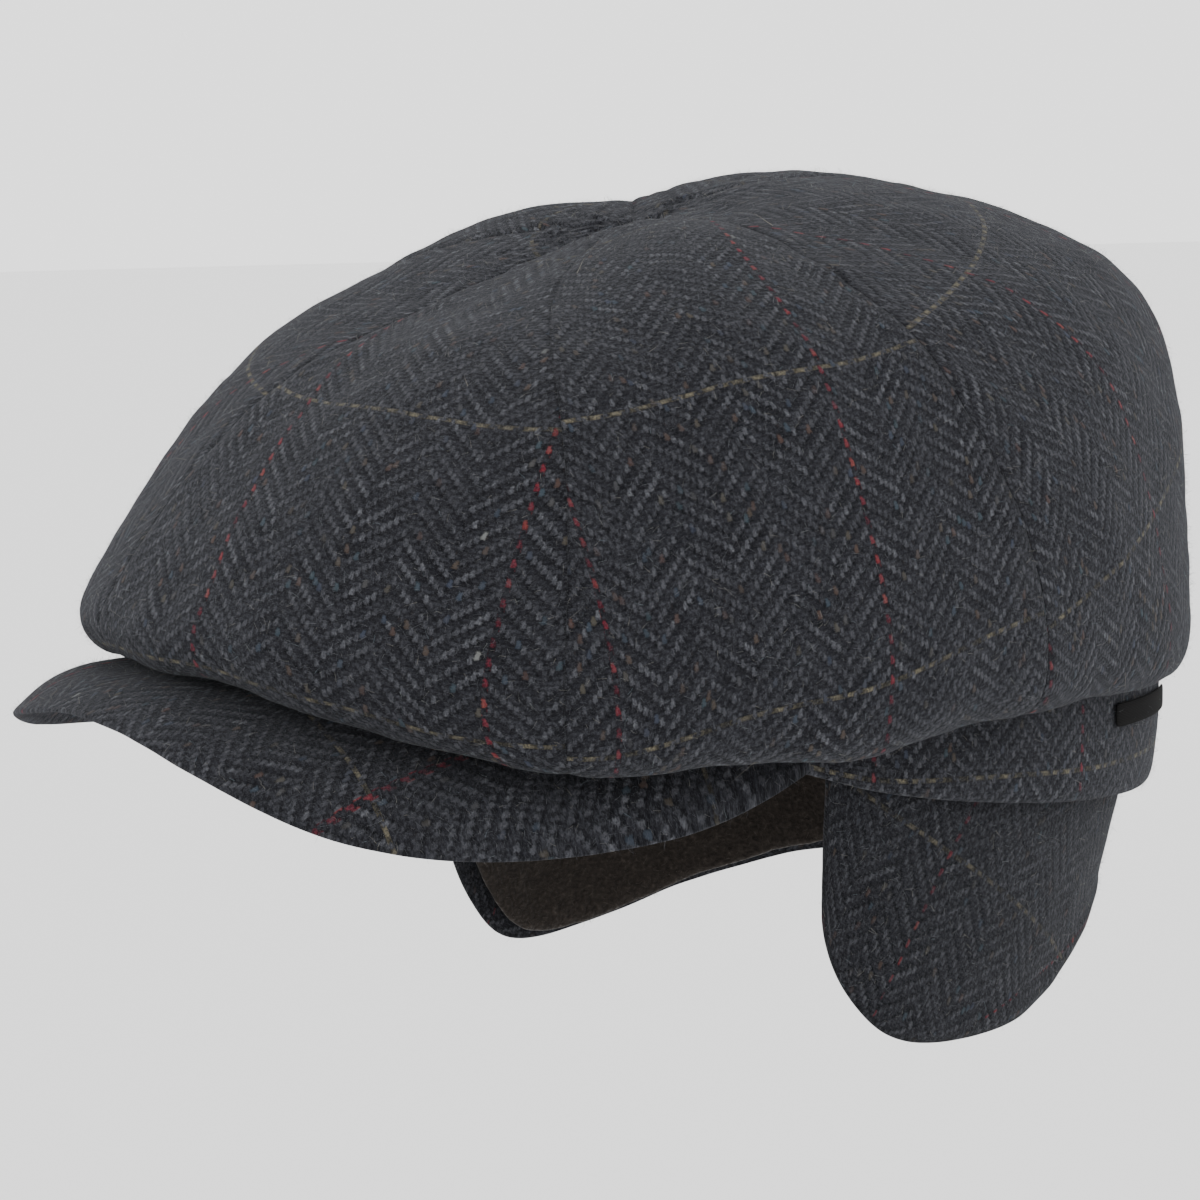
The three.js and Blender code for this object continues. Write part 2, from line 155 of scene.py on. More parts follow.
# Value of a column where the table's first column is `at`: a smooth curve with level ends
def fromTable(table, column, at):
    last = len(table) - 1
    if at <= table[0][0]:
        return table[0][column]
    if at >= table[last][0]:
        return table[last][column]
    i = max(n for n in range(last) if table[n][0] <= at)

    def slope(n):
        if n in (0, last):
            return 0
        return (table[n + 1][column] - table[n - 1][column]) / (table[n + 1][0] - table[n - 1][0])

    span = table[i + 1][0] - table[i][0]
    f = (at - table[i][0]) / span
    rise = table[i + 1][column] - table[i][column]
    curve = slope(i) * span * f * (1 - f) ** 2 - slope(i + 1) * span * f * f * (1 - f)
    return table[i][column] + rise * (3 - 2 * f) * f * f + curve


def mix(a, b, share):
    return a + (b - a) * share


# The angle folded to one side, 0 to 180
def folded(angle):
    turn = angle % 360
    return 360 - turn if turn > 180 else turn


def bandBottom(angle):
    return fromTable(bandEdges, 1, folded(angle))


def bandTop(angle):
    return fromTable(bandEdges, 2, folded(angle))


def wallPoint(halfWidth, halfLength, angle, z):
    a = math.radians(angle)
    return Vector((halfWidth * math.sin(a), -halfLength * math.cos(a), z))


def napeShare(angle):
    return max(0, -math.cos(math.radians(angle)))


def bandPoint(angle, z, outset):
    up = min(max((z - bandBottom(angle)) / bandSize["flareHeight"], 0), 1)
    out = outset + bandSize["napeFlare"] * napeShare(angle) * up
    return wallPoint(bandSize["halfWidth"] + out, bandSize["halfLength"] + out, angle, z)


# Distance from the crown's centre to the band's outer face
def reachToBand(angle):
    a = math.radians(angle)
    flare = bandSize["napeFlare"] * napeShare(angle)
    across = math.sin(a) / (bandSize["halfWidth"] + flare)
    along = -math.cos(a) / (bandSize["halfLength"] + flare)
    start = crownSize["centreY"] / (bandSize["halfLength"] + flare)
    square = across ** 2 + along ** 2
    return (-along * start + math.sqrt((along * start) ** 2 + square * (1 - start ** 2))) / square


# A smooth centripetal curve through points, as a dense list with the length so far
def curveThrough(points, steps):
    first = tuple(2 * a - b for a, b in zip(points[0], points[1]))
    last = tuple(2 * a - b for a, b in zip(points[-1], points[-2]))
    chain = [first, *points, last]
    dense = [tuple(points[0])]
    for n in range(1, len(chain) - 2):
        p0, p1, p2, p3 = chain[n - 1:n + 3]
        d0, d1, d2 = (math.dist(a, b) ** 0.5 for a, b in ((p0, p1), (p1, p2), (p2, p3)))
        slopes = []
        for x0, x1, x2, x3 in zip(p0, p1, p2, p3):
            m1 = ((x1 - x0) / d0 - (x2 - x0) / (d0 + d1) + (x2 - x1) / d1) * d1
            m2 = ((x2 - x1) / d1 - (x3 - x1) / (d1 + d2) + (x3 - x2) / d2) * d1
            slopes.append((x1, m1, -3 * x1 + 3 * x2 - 2 * m1 - m2, 2 * x1 - 2 * x2 + m1 + m2))
        for k in range(1, steps + 1):
            t = k / steps
            dense.append(tuple(a + b * t + c * t * t + d * t ** 3 for a, b, c, d in slopes))
    lengths = [0]
    for a, b in zip(dense, dense[1:]):
        lengths.append(lengths[-1] + math.dist(a, b))
    return dense, lengths


# The point at a share of a dense curve's length
def alongCurve(curve, share):
    dense, lengths = curve
    goal = share * lengths[-1]
    low, high = 0, len(lengths) - 1
    while high - low > 1:
        middle = (low + high) // 2
        low, high = (middle, high) if lengths[middle] <= goal else (low, middle)
    f = (goal - lengths[low]) / max(lengths[high] - lengths[low], 1e-9)   # a stretch may be empty
    return tuple(mix(a, b, f) for a, b in zip(dense[low], dense[high]))


# The crown's meridian at an angle, from the middle of the top to the hem at the band
def crownMeridian(angle, fullness):
    a = math.radians(angle)
    cos = math.cos(a)
    reach, height = (0, 3) if cos > 0 else (2, 5)   # the rings' columns for front or rear
    base = []
    for ring in crownRings:
        r = 1 / math.hypot(math.sin(a) / ring[1], cos / ring[reach])
        base.append((r, ring[4] + (ring[height] - ring[4]) * cos * cos, ring[6]))
    base[0] = (crownSize["tip"], *base[0][1:])
    widest, puff = base[-1][0], base[-1][2]
    fold = fromTable(crownEdge, 1 if math.sin(a) > 0 else 2, folded(angle))
    bandFace = reachToBand(angle)
    overhang = widest - bandFace
    tight = min(1, overhang / crownSize["roomyOverhang"])
    for inset, lift in crownUnder:
        if inset * tight <= overhang - crownSize["hemGap"]:
            base.append((widest - inset * tight, fold + lift, puff / 2))
    base.append((bandFace + crownSize["hemGap"], bandTop(angle) - crownSize["hemBelowTop"], 0))
    points = []
    for i, (r, z, out) in enumerate(base):
        before, after = base[max(i - 1, 0)], base[min(i + 1, len(base) - 1)]
        length = math.hypot(after[0] - before[0], after[1] - before[1])
        out *= fullness / length
        points.append((r - out * (after[1] - before[1]), z + out * (after[0] - before[0])))
    return curveThrough(points, crownSize["curveSteps"])


# A point of the crown's outer face: down its meridian and across a panel, both from 0 to 1
def crownPoint(down, across, panel):
    seams = len(seamAngles[0]) - 1
    first = fromTable(seamAngles, panel + 1, down)
    second = fromTable(seamAngles, (panel + 1) % seams + 1, down)
    if panel == seams - 1:
        second += 360
    fullness = max(math.sin(math.pi * across), 0) ** crownSize["fullness"]
    angle = mix(first, second, across)
    r, z = alongCurve(crownMeridian(angle, fullness), down)
    a = math.radians(angle)
    return Vector((r * math.sin(a), crownSize["centreY"] - r * math.cos(a), z))


# Cloth: the woven repeat, and what every cloth piece is made through
weaveSize = {
    "end": 1.15, "pick": 1.08,      # mm from yarn to yarn, across and along the cloth
    "repeat": 4,                    # picks in one turn of the twill, two over and two under
    "columnEnds": 9,                # warp ends in one herringbone column
    "redEnds": 54, "tanPicks": 65,  # yarns from one coloured line to the next
}
redEvery = weaveSize["end"] * weaveSize["redEnds"]
tanEvery = weaveSize["pick"] * weaveSize["tanPicks"]


# Yarn coordinates of a place in mm, with the middle of a yarn at 0, where the lines are
def onYarn(u, v):
    return u + weaveSize["end"] / 2, v + weaveSize["pick"] / 2


# The same from a place between the check's lines, given as shares of the check
def weaveFromWindows(windowU, windowV):
    return onYarn(windowU * redEvery, windowV * tanEvery)


farFromSeam = 100   # mm, on the pieces whose seams don't show


# A grid of cloth: points[i][j] in mm, with their yarn coordinates, their places between the
# check's lines, and their distances to the nearest seam or edge
def clothGrid(name, points, weave, windows, toSeam=None):
    columns, rows = len(points) - 1, len(points[0]) - 1
    mesh = bmesh.new()
    bmesh.ops.create_grid(mesh, x_segments=columns, y_segments=rows, size=0.5)
    seamLayer = mesh.verts.layers.float.new("toSeam")
    place = {}
    for vert in mesh.verts:
        place[vert.index] = (round((vert.co.x + 0.5) * columns), round((0.5 - vert.co.y) * rows))
        i, j = place[vert.index]
        vert.co = points[i][j] * mm
        vert[seamLayer] = toSeam[i][j] if toSeam else farFromSeam
    weaveLayer = mesh.loops.layers.uv.new("weave")
    windowLayer = mesh.loops.layers.uv.new("windows")
    for face in mesh.faces:
        for loop in face.loops:
            i, j = place[loop.vert.index]
            loop[weaveLayer].uv = weave[i][j]
            loop[windowLayer].uv = windows[i][j]
        face.smooth = True
    return meshObject(name, mesh)


def meshObject(name, mesh):
    data = bpy.data.meshes.new(name)
    mesh.to_mesh(data)
    mesh.free()
    piece = bpy.data.objects.new(name, data)
    bpy.context.collection.objects.link(piece)
    return piece


def solidify(piece, thickness, offset=-1):
    wall = piece.modifiers.new("wall", "SOLIDIFY")
    wall.thickness = thickness * mm
    wall.offset = offset
    wall.thickness_clamp = 1.5   # keeps the wall from crossing itself where the tips narrow


def subdivide(piece, levels):
    smooth = piece.modifiers.new("smooth", "SUBSURF")
    smooth.levels = smooth.render_levels = levels
    smooth.boundary_smooth = "PRESERVE_CORNERS"   # keeps the panels' points from drawing back


# Applies a piece's modifiers and leaves it with a plain mesh
def settle(piece):
    depsgraph = bpy.context.evaluated_depsgraph_get()
    data = bpy.data.meshes.new_from_object(piece.evaluated_get(depsgraph), depsgraph=depsgraph)
    piece.modifiers.clear()
    old = piece.data
    piece.data = data
    bpy.data.meshes.remove(old)
    data.name = piece.name


def makeWall(piece, thickness, levels, offset=-1):
    solidify(piece, thickness, offset)
    subdivide(piece, levels)
    settle(piece)


# Moves each point out by relief(point in mm, distance to the seam or edge), in mm
def addRelief(piece, relief):
    data = piece.data
    seam = data.attributes["toSeam"].data
    normals = [vert.normal.copy() for vert in data.vertices]
    middle = Vector((0, crownSize["centreY"], crownSize["reliefFrom"])) * mm
    for vert, normal in zip(data.vertices, normals):
        # at a seam both panels move the same way, out from the cap's middle, and stay closed
        atSeam = math.exp(-(seam[vert.index].value / crownSize["seamBlend"]) ** 2)
        away = normal.lerp((vert.co - middle).normalized(), atSeam).normalized()
        vert.co += away * relief(vert.co / mm, seam[vert.index].value) * mm
    data.update()


def ripple(point, size, seed):
    return noise.noise(point / size + Vector((seed, 2 * seed, -seed)))


# Soft dents of one kind: their depth and size in mm, and a seed
def dents(point, kind):
    depth, size, seed = kind
    return depth * ripple(point, size, seed)


def steps(count):
    return [n / count for n in range(count + 1)]


def runLengths(points):
    lengths = [0]
    for a, b in zip(points, points[1:]):
        lengths.append(lengths[-1] + (b - a).length)
    return lengths


# Crown panels
panelNames = ["front_left", "side_left", "back_left", "back_right", "side_right", "front_right"]
# Where the coloured lines run on each panel, in mm: a red line from the panel's middle, the
# distance to the next and their lean; a tan line up from the hem, the distance to the next,
# and the tan lines' slope at the hem and its growth per mm up
lineColumns = ("red", "redEvery", "lean", "tan", "tanEvery", "skew", "twist")
panelLines = {
    "front_left": (-24, 73, 0, 43, 70, -0.06, 0.0014),
    "side_left": (13.5, 61.8, 0, 40.5, 70.7, 0, 0),
    "back_left": (-17, 54, 0.13, 51.5, 74.5, -0.25, 0),
    "back_right": (14, 62, 0, 46, 70, 0.1, 0),
    "side_right": (-20, 62, 0, 40, 70, 0, 0),
    "front_right": (18, 66, -0.2, 44, 70, 0.05, 0),
}
crownCloth = {
    "columns": 20, "rows": 36, "levels": 2,
    "crowding": 0.8,               # how much the columns crowd towards the seams
    "leanFrom": 80,                # the height over the hem where a leaning line keeps its place
    "seamDepth": 0.18, "seamWidth": 0.8,   # the groove along a seam
    "rollHeight": 0.15, "rollAt": 3.6, "rollWidth": 2.4,   # the pressed-open allowance beside it
    "tipReach": 6,                 # nearer the middle than this, all relief fades out
    # dents as depth, size and seed
    "sag": (1.3, 30, 11), "crinkle": (0.5, 9, 7),
    "pucker": (0.25, 4.5, 3), "puckerReach": 6,
    # small folds round the middle of the top, and how far they wander round it, in radians
    "gather": (0.9, 9, 17), "gatherFolds": 17, "gatherWander": (2, 30, 41),
    "gatherPeak": 2, "gatherReach": 24,
}


def crownPanel(name, panel, values):
    across = []
    for s in steps(values["columns"]):
        across.append(s - values["crowding"] * math.sin(2 * math.pi * s) / (2 * math.pi))
    down = steps(values["rows"])
    points = [[crownPoint(t, s, panel) for t in down] for s in across]
    middle = values["columns"] // 2
    fromTop = runLengths(points[middle])
    up = [fromTop[-1] - length for length in fromTop]
    lines = dict(zip(lineColumns, panelLines[name]))
    weave, windows, toSeam = ([[None] * len(down) for _ in across] for _ in range(3))
    for j in range(len(down)):
        run = runLengths([column[j] for column in points])
        for i, length in enumerate(run):
            u, v = length - run[middle], up[j]
            lean = lines["lean"] * (v - values["leanFrom"])
            slope = lines["skew"] * u + lines["twist"] * u * v
            windows[i][j] = (
                (u + lean - lines["red"]) / lines["redEvery"],
                (v + slope - lines["tan"]) / lines["tanEvery"],
            )
            weave[i][j] = weaveFromWindows(*windows[i][j])
            toSeam[i][j] = min(length, run[-1] - length)
    piece = clothGrid("tweed_panel_" + name, points, weave, windows, toSeam)
    subdivide(piece, values["levels"])
    settle(piece)

    def relief(point, seam):
        groove = -values["seamDepth"] * math.exp(-(seam / values["seamWidth"]) ** 2)
        roll = values["rollHeight"] * math.exp(-((seam - values["rollAt"]) / values["rollWidth"]) ** 2)
        pucker = dents(point, values["pucker"]) * math.exp(-seam / values["puckerReach"])
        sag = dents(point, values["sag"])
        crinkle = dents(point, values["crinkle"])
        fromMiddle = math.hypot(point.x, point.y - crownSize["centreY"])
        turn = math.atan2(point.x, crownSize["centreY"] - point.y) + dents(point, values["gatherWander"])
        depth, size, seed = values["gather"]
        gather = depth * math.cos(turn * values["gatherFolds"]) * ripple(point, size, seed)
        gather *= values["gatherPeak"] * math.exp(-(fromMiddle / values["gatherReach"]) ** 2)
        fade = min(1, fromMiddle / values["tipReach"])
        return (groove + roll + pucker + sag + crinkle + gather) * fade

    addRelief(piece, relief)
    solidify(piece, crownSize["thickness"])
    settle(piece)
    return piece


crownPieces = [crownPanel(name, panel, crownCloth) for panel, name in enumerate(panelNames)]
print("crown panels ready")


# Band
bandCloth = {
    "columns": 96, "rows": 4, "levels": 2,
    "redAt": 208, "redEvery": 62.1,   # a red line's place from the middle of the front
    "weld": 0.01,                     # the ring's two ends are joined within this distance
    "sag": (0.35, 30, 5), "crinkle": (0.12, 9, 9),
}
# Height of the tan line over the band's lower edge: angle, height
bandTan = [(0, 2), (75, 2), (83, 2.6), (100, 6), (115, 7.5), (140, 9.2), (180, 9.5)]


def clothBand(values):
    angles = [360 * s for s in steps(values["columns"])]
    points, weave, windows = [], [], []
    run = runLengths([bandPoint(angle, bandBottom(angle), 0) for angle in angles])
    for angle, length in zip(angles, run):
        column, heights = [], []
        for share in steps(values["rows"]):
            z = mix(bandTop(angle), bandBottom(angle), share)
            column.append(bandPoint(angle, z, 0))
            heights.append(z - bandBottom(angle) - fromTable(bandTan, 1, folded(angle)))
        points.append(column)
        windowU = (length - values["redAt"]) / values["redEvery"]
        windows.append([(windowU, height / tanEvery) for height in heights])
        weave.append([weaveFromWindows(*window) for window in windows[-1]])
    piece = clothGrid("tweed_band", points, weave, windows)
    mesh = bmesh.new()
    mesh.from_mesh(piece.data)
    bmesh.ops.remove_doubles(mesh, verts=mesh.verts, dist=values["weld"] * mm)
    mesh.to_mesh(piece.data)
    mesh.free()
    makeWall(piece, bandSize["thickness"], values["levels"])
    addRelief(piece, lambda point, seam: dents(point, values["sag"]) + dents(point, values["crinkle"]))
    return piece


bandPiece = clothBand(bandCloth)
print("band ready")


# Visor
visorCloth = {
    "columns": 40, "rows": 10, "levels": 2,
    "edgeSteps": 12,                                  # how finely the free edge is drawn
    "redAt": 66.5, "redEvery": 102.35, "tanAt": 122,  # the lines, to the left and to the front
    "sag": (0.35, 26, 15), "crinkle": (0.12, 8, 19),
}


def visorPlate(values):
    edge = curveThrough(visorEdge, values["edgeSteps"])
    points, weave, windows = [], [], []
    for share in steps(values["columns"]):
        angle = (2 * share - 1) * visorSize["cornerAngle"]
        gap = visorSize["bandGap"]
        middle = bandBottom(angle) + visorSize["thickness"] / 2
        root = wallPoint(bandSize["halfWidth"] + gap, bandSize["halfLength"] + gap, angle, middle)
        free = Vector(alongCurve(edge, share))
        rise = fromTable(visorArch, 1, angle)
        column = []
        for step in steps(values["rows"]):
            out = 1 - (1 - step) ** visorSize["crowding"]
            point = root.lerp(free, out)
            point.z += rise * math.sin(math.pi * out ** visorSize["archTowardsEdge"])
            column.append(point)
        points.append(column[::-1])
    for column in points:
        fromLines = [(p.x - values["redAt"], -p.y - values["tanAt"]) for p in column]
        windows.append([(u / values["redEvery"], v / tanEvery) for u, v in fromLines])
        weave.append([onYarn(u, v) for u, v in fromLines])
    piece = clothGrid("tweed_visor", points, weave, windows)
    makeWall(piece, visorSize["thickness"], values["levels"], 0)
    addRelief(piece, lambda point, seam: dents(point, values["sag"]) + dents(point, values["crinkle"]))
    return piece


visorPiece = visorPlate(visorCloth)
print("visor ready")


# Ear and nape flap
flapCloth = {
    "columns": 72, "rows": 10, "levels": 2,
    "sag": (0.5, 28, 25), "crinkle": (0.25, 9, 29),
    "turned": 0.22, "turnedWidth": 4.5, "turnedStep": 0.8,   # the edge is turned in and stands thicker
}
# The flap is cut on the bias: where a red and a tan line cross, in mm round from the front
# corner and in height, the tan line's slope in degrees, and how the red lines fan out below
flapLines = {"round": 40, "height": -9.5, "slope": -31, "redEvery": 56, "fan": 0.0165, "closest": 0.4}


def flapPoint(angle, z, inside):
    lean = mix(fromTable(flapLean, 1, z), fromTable(flapLean, 2, z), napeShare(angle))
    halfWidth = flapSize["halfWidth"] - lean - inside
    halfLength = flapSize["halfLength"] - lean - inside
    return wallPoint(halfWidth, halfLength, angle, z)


def flapSheet(inside, frontMargin, edgeMargin, values):
    margin = math.degrees(frontMargin / flapSize["halfWidth"])
    points = []
    for n in range(-values["columns"] // 2, values["columns"] // 2 + 1):
        share = 2 * n / values["columns"]
        side = "left" if share < 0 else "right"
        fromCorner = (1 - abs(share)) ** flapSize["crowding"]
        sign = -1 if share < 0 else 1
        angle = 180 + sign * (1 - fromCorner) * (180 - flapSize[side] - margin)
        bottom = fromTable(flapEdge[side], 1, fromCorner) + edgeMargin
        top = bandBottom(angle) + flapSize["topTuck"]
        points.append([flapPoint(angle, mix(top, bottom, t), inside) for t in steps(values["rows"])])
    return points


def flapCharts(points):
    run = runLengths([column[len(column) // 2] for column in points])
    slope = math.radians(flapLines["slope"])
    weave, windows = [], []
    for column, length in zip(points, run):
        weaveColumn, windowColumn = [], []
        for p in column:
            along = min(length, run[-1] - length) - flapLines["round"]
            rise = p.z - flapLines["height"]
            u = along * math.cos(slope) + rise * math.sin(slope)
            v = along * math.sin(slope) - rise * math.cos(slope)
            fan = max(1 - flapLines["fan"] * v, flapLines["closest"])
            windowColumn.append((u / fan / flapLines["redEvery"], v / tanEvery))
            weaveColumn.append(onYarn(u, v))
        weave.append(weaveColumn)
        windows.append(windowColumn)
    return weave, windows


def earFlap(values):
    points = flapSheet(0, 0, 0, values)
    run = runLengths([column[-1] for column in points])
    toEdge = []
    for column, length in zip(points, run):
        toEnd = min(length, run[-1] - length)
        toEdge.append([min((p - column[-1]).length, toEnd) for p in column])
    piece = clothGrid("tweed_ear_flap", points, *flapCharts(points), toEdge)
    makeWall(piece, flapSize["thickness"], values["levels"])
    addRelief(piece, lambda point, edge: (
        dents(point, values["sag"]) + dents(point, values["crinkle"])
        - values["turned"] * math.tanh((edge - values["turnedWidth"]) / values["turnedStep"])
    ))
    return piece


pileCloth = {"columns": 72, "rows": 10, "levels": 2, "lump": (0.35, 3.2, 33)}


def flapLining(values):
    inside = flapSize["thickness"] + liningSize["gap"]
    points = flapSheet(inside, liningSize["frontMargin"], liningSize["edgeMargin"], values)
    piece = clothGrid("pile_lining", points, *flapCharts(points))
    makeWall(piece, liningSize["thickness"], values["levels"])
    addRelief(piece, lambda point, seam: dents(point, values["lump"]))
    return piece


flapPiece = earFlap(flapCloth)
liningPiece = flapLining(pileCloth)
print("flap and lining ready")


# Side label, bare
labelCloth = {"columns": 12, "rows": 3, "levels": 2}


def sideLabel(values):
    outset = tagSize["gap"] + tagSize["thickness"]
    heights = [tagSize["bottom"] + tagSize["height"] * (1 - t) for t in steps(values["rows"])]
    points = []
    for share in steps(values["columns"]):
        angle = mix(tagSize["fromAngle"], tagSize["toAngle"], share)
        points.append([bandPoint(angle, z, outset) for z in heights])
    chart = [[(p.y, p.z) for p in column] for column in points]
    piece = clothGrid("woven_label", points, chart, chart)
    makeWall(piece, tagSize["thickness"], values["levels"])
    return piece


labelPiece = sideLabel(labelCloth)
print("label ready")


# Materials
def newMaterial(name):
    material = bpy.data.materials.new(name)
    material.use_nodes = True
    tree = material.node_tree
    return material, tree, tree.nodes["Principled BSDF"]


# Gives a socket a link, a colour or a number
def feed(socket, value):
    if isinstance(value, bpy.types.NodeSocket):
        socket.id_data.links.new(value, socket)
    elif isinstance(value, tuple):
        socket.default_value = (*value, 1)
    else:
        socket.default_value = value


# A new node in the tree of the sockets among its inputs
def newNode(kind, *inputs):
    tree = next(value.id_data for value in inputs if isinstance(value, bpy.types.NodeSocket))
    return tree.nodes.new(kind)


# A Math node: inputs are numbers or sockets, and the result is its output socket
def calc(operation, *inputs):
    node = newNode("ShaderNodeMath", *inputs)
    node.operation = operation
    for socket, value in zip(node.inputs, inputs):
        feed(socket, value)
    return node.outputs[0]


# Two tones added up, each with its weight
def weigh(weights, *tones):
    return calc("ADD", *(calc("MULTIPLY", tone, weight) for tone, weight in zip(tones, weights)))


def blend(share, first, second, mode="MIX"):
    node = newNode("ShaderNodeMix", share, first, second)
    node.data_type = "RGBA"
    node.blend_type = mode
    # sockets 6 and 7 are the two colours
    for socket, value in ((0, share), (6, first), (7, second)):
        feed(node.inputs[socket], value)
    return node.outputs[2]


def vector(*parts):
    node = newNode("ShaderNodeCombineXYZ", *parts)
    for socket, value in zip(node.inputs, parts):
        feed(socket, value)
    return node.outputs[0]


def noiseAt(place, scale, detail):
    node = newNode("ShaderNodeTexNoise", place)
    for socket, value in {"Vector": place, "Scale": scale, "Detail": detail}.items():
        feed(node.inputs[socket], value)
    return node


def randomAt(place):
    node = newNode("ShaderNodeTexWhiteNoise", place)
    node.noise_dimensions = "3D"
    feed(node.inputs["Vector"], place)
    return node.outputs["Value"]


def ramp(value, stops):
    node = newNode("ShaderNodeValToRGB", value)
    colours = node.color_ramp
    while len(colours.elements) < len(stops):
        colours.elements.new(0.5)
    for element, (place, colour) in zip(colours.elements, stops):
        element.position = place
        element.color = (*colour, 1)
    feed(node.inputs["Fac"], value)
    return node.outputs["Color"]


def layer(tree, name):
    node = tree.nodes.new("ShaderNodeUVMap")
    node.uv_map = name
    split = tree.nodes.new("ShaderNodeSeparateXYZ")
    feed(split.inputs[0], node.outputs[0])
    return split.outputs[0], split.outputs[1]


def attribute(tree, name):
    node = tree.nodes.new("ShaderNodeAttribute")
    node.attribute_name = name
    return node.outputs["Fac"]


def addBump(shader, height, look):
    bump = newNode("ShaderNodeBump", height)
    feed(bump.inputs["Strength"], look["bump"])
    feed(bump.inputs["Distance"], look["bumpHeight"] * mm)
    feed(bump.inputs["Height"], height)
    feed(shader.inputs["Normal"], bump.outputs[0])


finishSockets = {
    "roughness": "Roughness", "gloss": "Specular IOR Level", "sheen": "Sheen Weight",
    "sheenRoughness": "Sheen Roughness", "sheenTint": "Sheen Tint",
}


# Puts what is the same all over a surface on the shader's own sockets
def setFinish(shader, look):
    for key, socket in finishSockets.items():
        if key in look:
            feed(shader.inputs[socket], look[key])


tweedLook = {
    "warp": [   # pale heather yarn, from its shadowed fibres to its palest ones
        (0.2, (0.0045, 0.0046, 0.0056)), (0.42, (0.0135, 0.0139, 0.0165)),
        (0.62, (0.034, 0.035, 0.0405)), (0.82, (0.066, 0.068, 0.0765)), (1, (0.112, 0.115, 0.123)),
    ],
    "weft": [   # dark navy yarn
        (0.2, (0.0045, 0.0046, 0.0056)), (0.6, (0.0105, 0.0109, 0.0135)),
        (0.95, (0.03, 0.031, 0.0365)),
    ],
    # how much of a yarn's shade comes from its float, and from its fibres
    "warpTone": (0.36, 0.78), "weftTone": (0.4, 0.7), "redTone": (0.5, 0.6),
    "fleck": [  # yarn spun with a little colour
        (0, (0.026, 0.039, 0.046)), (0.35, (0.026, 0.031, 0.046)), (0.6, (0.044, 0.04, 0.031)),
        (1, (0.044, 0.026, 0.022)),
    ],
    "fleckShare": 0.1,
    "nep": (0.11, 0.113, 0.11), "nepShare": 0.002,   # white specks
    "red": [(0.25, (0.016, 0.006, 0.009)), (0.6, (0.092, 0.0095, 0.017)), (0.95, (0.135, 0.034, 0.022))],
    "tan": [(0.3, (0.01, 0.0096, 0.0085)), (0.6, (0.05, 0.045, 0.033)), (0.9, (0.15, 0.132, 0.09))],
    "lineWidth": 0.5,                     # half of a coloured line, in yarns
    "wander": 0.5, "wanderPerMm": 0.3,    # how far a yarn strays, in mm
    "ragged": 0.95, "raggedPerMm": 2.8,   # how rough a float's outline is, in mm
    # the fine fibres: their contrast, how much finer they are across, and how many a mm
    "fibre": 1.7, "fibreStretch": 2.2, "fibrePerMm": 1.5,
    "longFloats": 0.15,                   # the pale yarn lies on top a little longer than under
    "warpLimits": (0.05, 0.8),            # how softly the pale floats show
    "nap": [    # matted fibres that veil the weave in places
        (0.3, (0.0055, 0.0056, 0.0068)), (0.5, (0.0165, 0.017, 0.0202)),
        (0.64, (0.036, 0.037, 0.043)), (0.8, (0.075, 0.077, 0.086)),
    ],
    "napLeast": 0.1, "napMost": 0.8, "napLimits": (0.38, 0.68), "napSize": 13,
    "napStretch": 1.4, "napPerMm": 1.1,
    "napOverLines": 0.6,   # how much of the nap veils the coloured yarns
    # loose hairs pressed into the nap: their leans, how thin, how many a mm, and how clear
    "hair": (0.09, 0.092, 0.1), "hairLeans": (0.5, -0.9), "hairStretch": 5, "hairPerMm": 1.4,
    "hairLimits": (0.57, 0.72), "hairShare": 0.4,
    "bump": 0.5, "bumpHeight": 0.4,
    "deep": 0.5, "high": 1.12, "diveLimits": (-0.1, 0.8),   # painted shade of a yarn where it dives under, lighter where it is on top
    "seamShade": 0.65, "seamLimits": (0.15, 0.7),           # and painted shade where the cloth turns in at a seam
    "roughness": 1, "gloss": 0.04, "sheen": 0.065, "sheenRoughness": 0.4, "sheenTint": (0.9, 0.93, 1),
}
# The flap's cloth is rubbed to a softer, more matted nap, and painted darker all over: painted shade for
# the shadow under the crown
flapLook = {**tweedLook, "napLeast": 0.2, "napMost": 0.88, "deep": 0.34, "high": 0.8}


# A number rescaled from one range to another and kept inside it; the second is 0 to 1 if left out
def rescale(value, *limits):
    node = newNode("ShaderNodeMapRange", value)
    for socket, limit in zip(("From Min", "From Max", "To Min", "To Max"), limits):
        feed(node.inputs[socket], limit)
    feed(node.inputs["Value"], value)
    return node.outputs[0]


# Whether a place in the check lies within reach of a coloured line
def isLine(window, reach):
    share = calc("FRACT", calc("ADD", window, 0.5))
    away = calc("ABSOLUTE", calc("SUBTRACT", share, 0.5))
    return calc("LESS_THAN", away, reach)


# Yarn coordinates moved about by noise, in mm
def strayed(u, v, perMm, amount):
    split = newNode("ShaderNodeSeparateColor", u)
    feed(split.inputs[0], noiseAt(vector(u, v, 0), perMm, detail=3).outputs["Color"])
    moved = []
    for coordinate, part in zip((u, v), split.outputs):
        move = calc("MULTIPLY", calc("SUBTRACT", part, 0.5), amount)
        moved.append(calc("ADD", coordinate, move))
    return moved


# Fine streaks that lean to one side
def streaks(u, v, lean, look):
    along = calc("ADD", u, calc("MULTIPLY", v, lean))
    across = calc("SUBTRACT", v, calc("MULTIPLY", u, lean))
    place = vector(along, calc("MULTIPLY", across, look["hairStretch"]), lean)
    return noiseAt(place, look["hairPerMm"], detail=4).outputs[0]


# The bulge of a yarn across its width: 1 in its middle and 0 at its sides
def bulge(yarns):
    across = calc("SUBTRACT", calc("FRACT", yarns), 0.5)
    return calc("COSINE", calc("MULTIPLY", across, math.pi))


